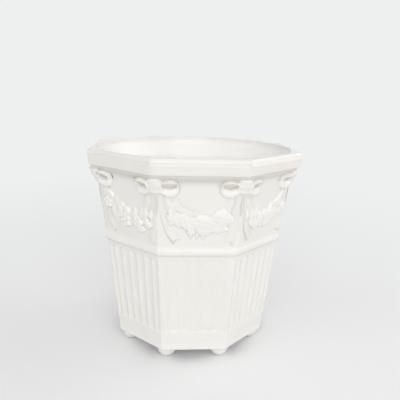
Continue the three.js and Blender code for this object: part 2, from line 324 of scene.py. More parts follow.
@dataclass
class Skin:
    """A closed surface worked out as arrays.

    Attributes:
        points: x, y and z of each point.
        quads: four point numbers of each four-sided face.
        fans: three point numbers of each three-sided face round a pole.
        pool_and_painted_light: how thickly the glaze has run together at each point, and the painted light
            and shade, 0 to 1.
    """

    points: Array
    quads: Array
    fans: Array
    pool_and_painted_light: Array

    @classmethod
    def over(cls, grid: Array, pool_and_painted_light: Array) -> "Skin":
        """Closes a grid whose rows are closed loops.

        Each cell joins a point to its neighbours in the next row and column, and the last column
        joins the first. A pole at the mean of each end loop closes that end. The faces are turned
        if the volume that they enclose is negative.

        Args:
            grid: points as rows, columns and x, y, z.
            pool_and_painted_light: glaze share with painted light and shade, as rows and columns.

        Returns:
            The closed surface.
        """
        rows, columns = grid.shape[:2]
        here = np.arange(rows * columns).reshape(rows, columns)
        beside = np.roll(here, -1, axis=1)
        quads = stacked(here[:-1], beside[:-1], beside[1:], here[1:]).reshape(-1, 4)
        fans = np.concatenate((stacked(beside[0], here[0], here.size),
                               stacked(here[-1], beside[-1], here.size + 1)))
        points = np.concatenate((grid.reshape(-1, 3), grid[[0, -1]].mean(axis=1)))
        shares = np.concatenate((pool_and_painted_light.reshape(-1), pool_and_painted_light[[0, -1]].mean(axis=1)))
        skin = cls(points, quads, fans, shares)
        if skin.volume() < 0:
            skin.quads = skin.quads[:, ::-1]
            skin.fans = skin.fans[:, ::-1]
        return skin

    def volume(self) -> float:
        """The enclosed volume: a sixth of the sum of each triangle's triple product.

        Returns:
            The volume in cubic millimetres, below zero if the faces look inwards.
        """
        triangles = np.concatenate((self.quads[:, [0, 1, 2]], self.quads[:, [0, 2, 3]], self.fans))
        a, b, c = (self.points[triangles[:, corner]] for corner in range(3))
        return float(np.einsum("ij,ij->", a, np.cross(b, c)) / 6)

    def to_object(self, name: str) -> bpy.types.Object:
        """Makes the mesh object, smooth shaded, with the glaze share, which carries painted light and
        shade, as a point attribute.

        Args:
            name: name of the object and of its mesh.

        Returns:
            The object, at the origin.
        """
        mesh = bpy.data.meshes.new(name)
        mesh.vertices.add(len(self.points))
        mesh.vertices.foreach_set("co", (self.points * MM).astype(np.float32).ravel())
        loops = np.concatenate((self.quads.ravel(), self.fans.ravel())).astype(np.int32)
        sizes = np.concatenate((np.full(len(self.quads), 4), np.full(len(self.fans), 3)))
        starts = np.concatenate(([0], np.cumsum(sizes)[:-1])).astype(np.int32)
        mesh.loops.add(len(loops))
        mesh.loops.foreach_set("vertex_index", loops)
        mesh.polygons.add(len(sizes))
        mesh.polygons.foreach_set("loop_start", starts)
        mesh.polygons.foreach_set("use_smooth", np.ones(len(sizes), dtype=bool))
        share = mesh.attributes.new(POOL_AND_LIGHT, "FLOAT", "POINT")
        share.data.foreach_set("value", np.clip(self.pool_and_painted_light, 0, 1).astype(np.float32))
        mesh.update(calc_edges=True)
        mesh.validate()
        piece = bpy.data.objects.new(name, mesh)
        bpy.context.scene.collection.objects.link(piece)
        return piece


@dataclass(frozen=True)
class Graph:
    """The shader nodes of a material or a world, with short ways to add and join them.

    Attributes:
        tree: the node tree.
    """

    tree: bpy.types.NodeTree

    @classmethod
    def of(cls, owner: bpy.types.Material | bpy.types.World) -> "Graph":
        """Turns on the nodes of a material or a world and takes its tree."""
        owner.use_nodes = True
        return cls(owner.node_tree)

    def feed(self, node: bpy.types.Node, inputs: Inputs) -> bpy.types.Node:
        """Links each input that is given a socket and sets each that is given a value.

        Args:
            node: the node.
            inputs: sockets and values by the name or number of the input.

        Returns:
            The same node.
        """
        for key, value in inputs.items():
            if isinstance(value, bpy.types.NodeSocket):
                self.tree.links.new(value, node.inputs[key])
            else:
                node.inputs[key].default_value = value
        return node

    def add(self, kind: str, inputs: Inputs | None = None, **settings: str) -> bpy.types.Node:
        """Adds a node.

        Args:
            kind: its type, without the word ShaderNode.
            inputs: what it is fed.
            settings: its own properties.

        Returns:
            The node.
        """
        node = self.tree.nodes.new(f"ShaderNode{kind}")
        for name, value in settings.items():
            setattr(node, name, value)
        return self.feed(node, inputs or {})


@dataclass(frozen=True)
class Glaze:
    """The warm white glossy glaze over a cream body.

    Attributes:
        name: name of the material.
        colour: the glaze at its plain thickness, linear.
        pooled_and_shaded: the glaze where it has run together, and the colour of painted shade, linear.
        edge: the glaze where it has drawn thin, and the colour of painted light, linear.
        plain_share: the glaze share at its plain thickness.
        cloudiness: how far the glaze share drifts up and down over the pot.
        roughness: the least and the most roughness of its surface.
        ripple: height of the surface's fine ripple in metres.
        bare_sole: height in metres up to which the glaze is wiped off, or 0.
        sole_fade: height at which it is whole again, as a multiple of that.
        body: the bare body, linear.
        body_roughness: its roughness.
    """

    name: str = "white_glaze"
    colour: Colour = (0.862, 0.845, 0.802)
    pooled_and_shaded: Colour = (0.70, 0.675, 0.625)
    edge: Colour = (0.955, 0.945, 0.92)
    plain_share: float = 0.35
    cloudiness: float = 0.12
    roughness: tuple[float, float] = (0.15, 0.25)
    ripple: float = 0.00002
    bare_sole: float = 0.0
    sole_fade: float = 1.6
    body: Colour = (0.66, 0.61, 0.53)
    body_roughness: float = 0.85

    def material(self) -> bpy.types.Material:
        """Builds the material's nodes on Object coordinates and the glaze share, which also carries painted
        light and shade.

        Returns:
            The material.
        """
        material = bpy.data.materials.new(self.name)
        graph = Graph.of(material)
        place = graph.add("TexCoord").outputs["Object"]
        share = graph.add("Attribute", attribute_name=POOL_AND_LIGHT)
        clouds = (-self.cloudiness, self.cloudiness)
        drift = self._patchy(graph, place, scale=22, detail=3, between=clouds)
        total = graph.add("Math", {0: share.outputs["Fac"], 1: drift}, operation="ADD")
        # The share paints light and shade as well as glaze: low shares take the lighter edge colour, high
        # ones the darker pooled one.
        tint = graph.add("ValToRGB", {"Fac": total.outputs["Value"]})
        ramp = tint.color_ramp.elements
        ramp[0].color = (*self.edge, 1)
        ramp[1].color = (*self.pooled_and_shaded, 1)
        ramp.new(self.plain_share).color = (*self.colour, 1)
        colour = tint.outputs["Color"]
        roughness = self._patchy(graph, place, scale=70, detail=2, between=self.roughness)
        waves = graph.add("TexNoise", {"Vector": place, "Scale": 420, "Detail": 2})
        bump = graph.add("Bump", {"Height": waves.outputs["Fac"], "Strength": 0.5, "Distance": self.ripple})
        if self.bare_sole > 0:
            height = graph.add("SeparateXYZ", {"Vector": place}).outputs["Z"]
            whole = self.bare_sole * self.sole_fade
            span = {"From Min": self.bare_sole, "From Max": whole, "To Min": 1, "To Max": 0}
            bare = graph.add("MapRange", {"Value": height, **span}).outputs["Result"]
            body = {"Factor": bare, "A": colour, "B": (*self.body, 1)}
            colour = graph.add("Mix", body, data_type="RGBA").outputs["Result"]
            matt = {"Factor": bare, "A": roughness, "B": self.body_roughness}
            roughness = graph.add("Mix", matt).outputs["Result"]
        graph.feed(graph.tree.nodes["Principled BSDF"], {
            "IOR": 1.52, "Base Color": colour, "Roughness": roughness, "Normal": bump.outputs["Normal"],
        })
        return material

    @staticmethod
    def _patchy(graph: Graph, place: bpy.types.NodeSocket, scale: float, detail: float,
                between: tuple[float, float]) -> bpy.types.NodeSocket:
        """Adds a number that drifts in soft patches over the pot.

        Args:
            graph: the material's nodes.
            place: the socket with the Object coordinates.
            scale: how many patches there are to a metre.
            detail: how many finer layers they have.
            between: the least and the greatest number.

        Returns:
            The socket with the number.
        """
        noise = graph.add("TexNoise", {"Vector": place, "Scale": scale, "Detail": detail})
        span = {"Value": noise.outputs["Fac"], "To Min": between[0], "To Max": between[1]}
        return graph.add("MapRange", span).outputs["Result"]


@dataclass
class Assembly:
    """A sub-assembly of the pot.

    Attributes:
        plan: the sizes that it shares with the others.
        glaze: its material.
        wall: the unevenness of the casting that it belongs to.
    """

    plan: Plan
    glaze: bpy.types.Material
    wall: Unevenness

    def sheet(self, side: int, across: Array, up: Array, out: Array, pool_and_painted_light: Array) -> Skin:
        """Closes a sheet over a panel with a back just inside the wall, from its last column to its first.

        Args:
            side: the panel.
            across: distances to the right of its middle, as rows and columns.
            up: distances up from the belt.
            out: distances off the panel.
            pool_and_painted_light: glaze share with painted light and shade.

        Returns:
            The closed surface.
        """
        across, up, pool_and_painted_light = (np.concatenate((v, v[:, -1:], v[:, :1]), axis=1) for v in (across, up, pool_and_painted_light))
        out = np.concatenate((out, np.full((len(out), 2), -BACK)), axis=1)
        return Skin.over(self.plan.on_panel(side, across, up, out), pool_and_painted_light)

    def finish(self, skin: Skin, name: str, node: str) -> None:
        """Makes a piece of a skin, dresses it and puts it in a node's place.

        Args:
            skin: the piece's surface.
            name: the piece's name.
            node: the node that it stands for.
        """
        skin.points = self.wall.settle(skin.points)
        piece = skin.to_object(name)
        piece.data.materials.append(self.glaze)
        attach(piece, BODY)
        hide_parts(node)
        log.info("%s: %d faces", name, len(piece.data.polygons))


@dataclass
class Vessel(Assembly):
    """The octagonal vessel with its flutes, belt, frieze, rim and round inside.

    Attributes:
        corner: how far the corners of each storey are rounded.
        rim_corner: how far the rim's corners are rounded.
        base_round: rounding under the base's edge.
        belt_proud: how far the belt stands out.
        belt_turn: angle above the level at which the belt's half round ends, in radians.
        belt_ease: reach of the glaze fillet between the belt and the frieze.
        neck_ease: reach of the curve between the frieze and the rim's underside.
        band_round: rounding at the band's foot.
        lip_round: rounding of the lip's outer edge.
        lip_width: width of the lip at the middle of a side.
        mouth_round: rounding of the lip's inner edge.
        collar_depth: depth of the upright collar inside the mouth.
        collar_ease: reach of the curve at the collar's foot.
        shoulder_height: how far below the lip the shoulder inside the collar ends.
        shoulder_ease: reach of the curve at the shoulder's foot.
        wall_thickness: thickness of the wall at the middle of a side.
        floor_thickness: thickness of the floor.
        floor_fillet: radius where the inside wall meets the floor.
        pole_ring: radius of the innermost loop under the base and on the floor.
        flutes: number of flutes on a side.
        edge_flute: width of the outermost flutes as a share of the others.
        flute_depth: depth of the inner flutes.
        flute_start: height of the flutes' feet above the base.
        flute_rise: height over which a flute reaches its depth.
        flute_gap: distance of the flutes' tops below the belt.
        flute_land: width of the arris between two flutes.
        flute_scoop: how steeply a flute's foot runs out, as a share of its depth.
    """

    corner: float = 2.0
    rim_corner: float = 4.6
    base_round: float = 0.7
    belt_proud: float = 2.3
    belt_turn: float = 0.78
    belt_ease: float = 2.6
    neck_ease: float = 3.6
    band_round: float = 1.0
    lip_round: float = 2.6
    lip_width: float = 3.4
    mouth_round: float = 1.3
    collar_depth: float = 6.5
    collar_ease: float = 4.6
    shoulder_height: float = 16.0
    shoulder_ease: float = 6.0
    wall_thickness: float = 5.4
    floor_thickness: float = 7.0
    floor_fillet: float = 8.0
    pole_ring: float = 8.0
    flutes: int = 7
    edge_flute: float = 0.72
    flute_depth: float = 0.95
    flute_start: float = 16.6
    flute_rise: float = 3.4
    flute_gap: float = 4.0
    flute_land: float = 0.4
    flute_scoop: float = 0.12

    def build(self) -> None:
        """Works out the vessel as rows of closed loops up the outside and down the inside."""
        rows = self._profile()
        grid = self._loops(rows)
        pool_and_painted_light = self._pooling_and_painted_light(rows, grid)
        self.finish(Skin.over(grid, pool_and_painted_light), "vessel", "pot_body")

    def _profile(self) -> Array:
        """The rows of the vessel's surface.

        Returns:
            For each row its radius, height, corner rounding, share of a circle, and flute share.
        """
        p = self.plan
        quarter = math.pi / 2
        mouth = p.rim_radius * COS_HALF - self.lip_width
        shoulder_z = p.top_z - self.shoulder_height
        climb = (shoulder_z - p.frieze_z) / (p.neck_z - p.frieze_z)
        wall_radius = p.frieze_radius + climb * (p.neck_radius - p.frieze_radius)
        collar_foot = (mouth, p.top_z - self.collar_depth)
        shoulder_foot = (wall_radius * COS_HALF - self.wall_thickness, shoulder_z)
        fillet_radius = p.base_radius * COS_HALF - self.wall_thickness - self.floor_fillet
        floor_z = p.base_z + self.floor_thickness
        wall_foot = (fillet_radius + self.floor_fillet, floor_z + self.floor_fillet)
        belt_half = (p.frieze_z - p.belt_z) / 2
        belt = arc((p.waist_radius, p.belt_z + belt_half), (self.belt_proud, belt_half),
                   -quarter, self.belt_turn, 16)
        frieze_foot = (p.frieze_radius, p.frieze_z)
        neck = (p.neck_radius, p.neck_z)
        band_foot = (p.band_radius, p.band_z)
        # Rows on a straight stretch stay a millimetre or more clear of the curves at its two ends.
        outside = [
            np.linspace((self.pole_ring, p.base_z), (p.base_radius - self.base_round, p.base_z), 5),
            arc((p.base_radius - self.base_round, p.base_z + self.base_round),
                (self.base_round, self.base_round), -quarter, 0, 5),
            self._fluted_rows(),
            belt,
            eased(belt[-1], frieze_foot, neck, self.belt_ease, 6),
            np.linspace((p.frieze_radius + 0.8, p.frieze_z + 5), (p.neck_radius - 0.9, p.neck_z - 5.6), 10),
            eased(frieze_foot, neck, band_foot, self.neck_ease, 9),
            np.linspace((p.neck_radius + 3.2, p.neck_z + 3.3), (p.band_radius - 1, p.band_z - 1), 4),
            arc((p.band_radius, p.band_z + self.band_round),
                (self.band_round, self.band_round), -quarter, 0, 6),
            np.linspace((p.band_radius + self.band_round + 0.1, p.band_z + self.band_round + 1),
                        (p.rim_radius, p.lip_z), 4),
            arc((p.rim_radius - self.lip_round, p.lip_z),
                (self.lip_round, p.top_z - p.lip_z), 0, quarter, 9),
        ]
        inside = [
            arc((mouth + self.mouth_round, p.top_z - self.mouth_round),
                (self.mouth_round, self.mouth_round), quarter, 2 * quarter, 5),
            eased((mouth, p.top_z), collar_foot, shoulder_foot, self.collar_ease, 8),
            eased(collar_foot, shoulder_foot, wall_foot, self.shoulder_ease, 8),
            # One row holds the wall straight down to the fillet.
            eased(shoulder_foot, wall_foot, (fillet_radius, floor_z), 0.5, 2)[:1],
            arc((fillet_radius, floor_z + self.floor_fillet),
                (self.floor_fillet, self.floor_fillet), 0, -quarter, 7),
            np.linspace((fillet_radius - 6, floor_z), (self.pole_ring, floor_z), 4),
        ]
        outer = np.concatenate(outside)
        inner = np.concatenate(inside)
        radius, z = np.concatenate((outer, inner)).T
        circle = np.concatenate((np.zeros(len(outer)), np.ones(len(inner))))
        rounding = self.corner + (self.rim_corner - self.corner) * smooth_step(p.neck_z, p.band_z, z)
        height = z - p.base_z
        foot = smooth_step(self.flute_start, self.flute_start + self.flute_rise, height)
        end = p.belt_z - p.base_z - self.flute_gap
        share = foot * (1 - smooth_step(end - 0.2, end + 0.7, height)) * (1 - circle)
        return stacked(radius, z, rounding, circle, share)

    def _fluted_rows(self) -> Array:
        """The rows up the fluted storey, close together at the flutes' ends.

        Returns:
            For each row its radius and height.
        """
        p = self.plan
        start = p.base_z + self.flute_start
        end = p.belt_z - self.flute_gap
        z = np.concatenate((
            np.linspace(p.base_z + 3, start - 1, 4),
            np.linspace(start, start + self.flute_rise, 13),
            np.linspace(start + self.flute_rise + 2, end - 2, 12),
            np.linspace(end - 0.4, end + 0.9, 8),
            np.linspace(end + 1.8, p.belt_z - 0.4, 2),
        ))
        slope = (p.waist_radius - p.base_radius) / (p.belt_z - p.base_z - self.base_round)
        radius = p.base_radius + slope * (z - p.base_z - self.base_round)
        return stacked(radius, z)

    def _flute_edges(self) -> Array:
        """Where the flutes meet across a side: the outermost ones are narrower.

        Returns:
            Shares of half the side's width, from -1 to 1.
        """
        widths = np.ones(self.flutes)
        widths[[0, -1]] = self.edge_flute
        return np.concatenate(([0], np.cumsum(widths))) / widths.sum() * 2 - 1

    def _loops(self, rows: Array) -> Array:
        """Points of every row: an octagon with round corners, or a circle, or between the two.

        Across a flat, a column keeps its share of the width. A flute is a parabola between its
        two arrises, less a plane that lets its foot run out in a round scoop. Round a corner,
        the columns follow an arc that touches both flats.

        Args:
            rows: the rows of the profile.

        Returns:
            Points as rows, columns and x, y, z.
        """
        radius, z, rounding, circle, share = (column[:, None] for column in rows.T)
        edges = self._flute_edges()
        steps = np.array([0, 0.035, 0.1, 0.22, 0.36, 0.5, 0.64, 0.78, 0.9, 0.965])
        cells = edges[:-1, None] + np.diff(edges)[:, None] * steps
        across = np.append(cells.ravel(), 1.0)[None, :]
        half = radius * SIN_HALF - rounding * math.tan(TURN / 2)
        apothem = radius * COS_HALF
        width = np.repeat(np.diff(edges), len(steps))
        width = np.append(width, width[-1])[None, :]
        within = np.append(np.tile(steps, self.flutes), 0.0)[None, :]
        land = self.flute_land / (width * half)
        inner = np.clip((within - land / 2) / (1 - land), 0, 1)
        bowl = 4 * inner * (1 - inner) * width / width.max()
        run_out = self.flute_scoop * (1 - share) * (share > 0)
        cut = self.flute_depth * np.maximum(bowl * share - run_out, 0)
        flat = stacked(across * half, -(apothem - cut), z)
        angle = np.linspace(0, TURN, 8)[None, 1:-1]
        bend_x = half + rounding * np.sin(angle)
        bend_y = -(apothem - rounding) - rounding * np.cos(angle)
        sector = np.concatenate((flat, stacked(bend_x, bend_y, z)), axis=1)
        octagon = np.concatenate([turned(sector, side * TURN) for side in range(SIDES)], axis=1)
        direction = np.arctan2(octagon[-1:, :, 1], octagon[-1:, :, 0])
        ring = stacked(radius * np.cos(direction), radius * np.sin(direction), z)
        return octagon + circle[..., None] * (ring - octagon)

    def _pooling_and_painted_light(self, rows: Array, grid: Array) -> Array:
        """Glaze share over the vessel: painted shade, as pooled glaze, under the belt and the rim; darker
        round the band and lip; lighter near the base; and painted light inside.

        Args:
            rows: the rows of the profile.
            grid: the points of the surface.

        Returns:
            The share as rows and columns.
        """
        p = self.plan
        z = rows[:, 1]
        base = np.full(len(z), 0.3)
        # Each darker band, painted shade as thicker glaze, has the height of its middle, its reach and its
        # weight.
        bands = ((p.belt_z, 1.6, 0.2), (p.neck_z + 4.0, 3.2, 0.6), (p.lip_z, 8.0, 0.15))
        for middle, reach, weight in bands:
            base += weight * np.exp(-(((z - middle) / reach) ** 2)) * (1 - rows[:, 3])
        # Painted light: the inside is painted lighter, and the outside a little lighter near the base.
        inside = rows[:, 3] * smooth_step(p.top_z - 0.5, p.top_z - 3.0, z)
        base -= 0.15 * np.exp(-(((z - p.base_z) / 6.0) ** 2)) + 0.4 * inside
        return np.repeat(base[:, None], grid.shape[1], axis=1)


@dataclass
class Feet(Assembly):
    """The eight small domed feet under the base's corners.

    Attributes:
        radius: radius where the dome meets the base.
        sole_radius: radius of the flat sole.
        inset: distance of a foot's centre from its corner.
        fillet: how far the glaze fillet under the base reaches.
        sunk: how far its top reaches up into the base.
        columns: points round a foot.
    """

    radius: float = 9.0
    sole_radius: float = 3.2
    inset: float = 11.4
    fillet: float = 1.2
    sunk: float = 0.5
    columns: int = 48

    def build(self) -> None:
        """Works out a foot as circles up its profile and sets one under each corner."""
        top = self.plan.base_z
        sole = math.acos(self.sole_radius / self.radius)
        depth = top / math.sin(sole)
        dome = arc((0, top), (self.radius, depth), -sole, -0.14, 14)
        profile = np.concatenate((
            np.linspace((1, 0), (self.sole_radius - 0.4, 0), 3),
            dome[1:],
            arc((self.radius + self.fillet, top - self.fillet),
                (self.fillet * 1.05, self.fillet * 1.2), math.pi, math.pi / 2, 6),
            np.linspace((self.radius + self.fillet, top + self.sunk), (1, top + self.sunk), 3),
        ))
        angle = np.linspace(0, 2 * math.pi, self.columns, endpoint=False)
        radius, z = profile[:, 0, None], profile[:, 1, None]
        ring = stacked(radius * np.cos(angle), radius * np.sin(angle), z)
        # Painted shade: the foot darkens towards its top, where it meets the base, as pooled glaze.
        pool_and_painted_light = np.broadcast_to(0.25 + 0.5 * smooth_step(top - 3, top, z), ring.shape[:2])
        for side in range(SIDES):
            foot = ring + np.array((0, -(self.plan.base_radius - self.inset), 0))
            skin = Skin.over(turned(foot, (side + 0.5) * TURN), pool_and_painted_light)
            self.finish(skin, f"foot_cast_{side + 1}", f"foot_{side + 1}")


@dataclass
class Bows(Assembly):
    """The ribbon bow at each corner: a knot with a loop on the panel to each side of it.

    Attributes:
        half_length: half the length of a loop's outline.
        half_height: half the height of a loop's outline.
        pinch: share by which a loop narrows at the knot.
        reach: how far a loop's far end lies from the corner.
        below_neck: distance of the bow's middle below the frieze's top.
        relief: how far a loop stands out next to the knot.
        end_relief: how far it stands out at its far end.
        outer_roll: distance over which a loop's outer edge rolls over.
        eye_roll: distance over which its inner edge rolls over above the opening.
        eye_slope: how much longer that roll is below the opening.
        eye_half_length: half the length of the opening.
        eye_half_height: half the height of the opening.
        eye_lift: how far the opening lies above the loop's middle.
        eye_out: how far it lies outside the loop's middle.
        overhang: how far the loops' upper band leans out, as a share of its height.
        knot_half_width: half the width of the knot.
        knot_half_height: half the height of the knot.
        knot_proud: how far the knot stands out of the corner.
        knot_lean: how much further out it comes for each millimetre up.
        knot_below_neck: distance of the knot's middle below the frieze's top.
        bluntness: the power that squares the knot off.
        gather: depth of the gathers that run out from the knot.
        fillet: reach of the glaze that fills the creases.
        margin: how far the sheet runs past the bow.
        wrap: distance from the corner over which the sheet turns from one panel to the other.
        corner_inset: how far the sheet draws in at the corner, whose edge is rounded.
        edge_sink: how far the sheet's edge is tucked into the wall.
        back_depth: how far its back lies inside the wall.
        thin_and_lit_share: the least glaze share on the ribbon's heights, which paints them lighter.
    """

    half_length: float = 9.0
    half_height: float = 9.0
    pinch: float = 0.35
    reach: float = 19.6
    below_neck: float = 2.9
    relief: float = 4.6
    end_relief: float = 3.5
    outer_roll: float = 2.8
    eye_roll: float = 1.3
    eye_slope: float = 2.4
    eye_half_length: float = 5.2
    eye_half_height: float = 2.4
    eye_lift: float = 2.7
    eye_out: float = 0.7
    overhang: float = 0.65
    knot_half_width: float = 6.6
    knot_half_height: float = 6.6
    knot_proud: float = 3.4
    knot_lean: float = 0.2
    knot_below_neck: float = 1.0
    bluntness: float = 3.4
    gather: float = 0.12
    fillet: float = 0.5
    margin: float = 1.2
    wrap: float = 4.0
    corner_inset: float = 0.6
    edge_sink: float = 0.5
    back_depth: float = 1.0
    thin_and_lit_share: float = 0.33

    def build(self) -> None:
        """Makes the eight bows."""
        for side in range(SIDES):
            self.finish(self._bow(side), f"bow_sprig_{side + 1}", f"bow_{side + 1}")

    def _bow(self, side: int) -> Skin:
        """One bow: a sheet wrapped round the corner, as high over the wall as its forms.

        The height is the soft maximum of the knot and the loops, and then of those and the wall,
        which turns outwards above the frieze. Near the corner, each point is a blend of its
        places on the two panels. The sheet's back follows the wall a little way inside it.

        Args:
            side: the side whose right-hand corner it stands on.

        Returns:
            The bow's surface.
        """
        p = self.plan
        span = self.reach + self.margin
        low = -self.below_neck - self.half_height - self.margin
        s = np.linspace(-span, span, 176)[:, None]
        y = np.linspace(low, self.half_height - self.below_neck, 66)[None, :]
        bow = soft_max(self._loop(np.abs(s), y), self._knot(s, y), 1.6 * self.fillet)
        inset = self.corner_inset * np.clip(1 - (s / self.wrap) ** 2, 0, 1)
        wall = np.maximum(y, 0) * self._flare() - inset - HAIR
        out = soft_max(bow, wall, self.fillet)
        # The outermost points at the sides, below and above are tucked into the wall.
        border = (np.abs(s) > span - 0.4) | (y < low + 0.4) | (y > y.max() - 0.1)
        out = np.where(border, wall - self.edge_sink, out)
        # Painted shade under the rim and in the openings, where glaze has pooled, and painted light on the
        # ribbon's heights and its lower band, where the glaze lies thin.
        crease = 0.3 + 0.6 * np.exp(-(((y - 4.0) / 3.2) ** 2))
        eye_shade = smooth_step(0.3, -0.7, self._past_eye(np.abs(s), y))
        low_band_light = smooth_step(1.6, 3.4, out - wall) * smooth_step(0.0, -3.0, y + self.below_neck)
        ribbon = np.maximum(crease - 0.25 * (out - wall), self.thin_and_lit_share)
        pool_and_painted_light = np.maximum(ribbon - 0.16 * low_band_light, eye_shade)
        # The back returns over every ninth column, from the top one down.
        back = slice(None, None, -9)
        out = np.concatenate((out, (wall - self.back_depth)[:, back]), axis=1)
        pool_and_painted_light = np.concatenate((pool_and_painted_light, pool_and_painted_light[:, back]), axis=1)
        up = p.panel_height + np.concatenate((y, y[:, back]), axis=1)
        half = p.half_foot + (p.half_top - p.half_foot) * up / p.panel_height
        first = p.on_panel(side, half + s, up, out)
        second = p.on_panel((side + 1) % SIDES, s - half, up, out)
        share = smooth_step(-self.wrap, self.wrap, s)[..., None]
        return Skin.over(first + share * (second - first), pool_and_painted_light)

    def _flare(self) -> float:
        """How far the rim's underside comes out of a panel's plane.

        Returns:
            The distance for each millimetre up the panel.
        """
        p = self.plan
        rise = math.atan2((p.band_radius - p.neck_radius) * COS_HALF, p.band_z - p.neck_z)
        return math.tan(rise - p.lean)

    def _loop(self, away: Array, y: Array) -> Array:
        """Height of a loop over the wall: a band that rolls over at its outline and its eye.

        The outline is an ellipse that narrows towards the knot, and the eye a smaller ellipse.
        Each roll is a quarter circle over the distance from its edge, and the band's height is
        its rise times both. Gathers that fade away from the knot run out over it.

        Args:
            away: distances from the corner.
            y: heights over the frieze's top.

        Returns:
            The heights, below zero off the loop.
        """
        x = self.reach - self.half_length - away
        up = y + self.below_neck
        near = np.clip(x / self.half_length, -1, 1) * 0.5 + 0.5
        height = self.half_height * (1 - self.pinch * near)
        inside = (1 - np.hypot(x / self.half_length, up / height)) * height
        outside = self._past_eye(away, y)
        outer_reach = self.outer_roll * (1 - 0.55 * smooth_step(0.0, 6.0, up))
        eye_reach = self.eye_roll + self.eye_slope * smooth_step(2.0, -1.0, up)
        roll = self._quarter(inside / outer_reach) * self._quarter(outside / eye_reach)
        rise = self.end_relief + (self.relief - self.end_relief) * near + self.overhang * np.maximum(up, 0)
        folds = self.gather * near * np.sin(up * 1.5 + 0.8)
        return (rise + folds) * roll - 2.5 * np.maximum(-np.minimum(inside, outside), 0)

    def _past_eye(self, away: Array, y: Array) -> Array:
        """Distance outside a loop's opening, an ellipse, and below zero within it.

        Args:
            away: distances from the corner.
            y: heights over the frieze's top.

        Returns:
            The distances, about right near the opening's edge.
        """
        across = (self.reach - self.half_length - away + self.eye_out) / self.eye_half_length
        up = (y + self.below_neck - self.eye_lift) / self.eye_half_height
        return (np.hypot(across, up) - 1) * self.eye_half_height

    def _knot(self, s: Array, y: Array) -> Array:
        """Height of the knot over the wall: a blunt pillow, two gathers deep.

        It is the root of one less the blunt powers of the distances across and up.

        Args:
            s: distances across from the corner.
            y: heights over the frieze's top.

        Returns:
            The heights, below zero off the knot.
        """
        across = np.abs(s) / self.knot_half_width
        up = (y + self.knot_below_neck) / self.knot_half_height
        filled = across ** self.bluntness + np.abs(up) ** self.bluntness
        dome = np.clip(1 - filled, 0, 1) ** (1 / self.bluntness)
        folds = self.gather * np.cos(up * math.pi * 2.5) * dome
        rise = self.knot_proud + 0.6 + self.knot_lean * up * self.knot_half_height
        return rise * dome + folds - 3.0 * np.clip(filled - 1, 0, 4)

    @staticmethod
    def _quarter(share: Array) -> Array:
        """A quarter circle: rises steeply from 0 and is level from 1 on."""
        return np.sqrt(1 - (1 - np.clip(share, 0, 1)) ** 2)


@dataclass(frozen=True)
class TailShape:
    """One ribbon tail, as points given in from the panel's lower corner and up from the belt.

    Attributes:
        outer_tip: the end of the outer edge.
        inner_tip: the end of the inner edge.
        outer_bend: the point that bends the outer edge.
        inner_bend: the point that bends the inner edge.
        pooled_and_shaded: how much painted shadow, as pooled glaze, lies along the outer edge.
    """

    outer_tip: Point
    inner_tip: Point
    outer_bend: Point
    inner_bend: Point
    pooled_and_shaded: float


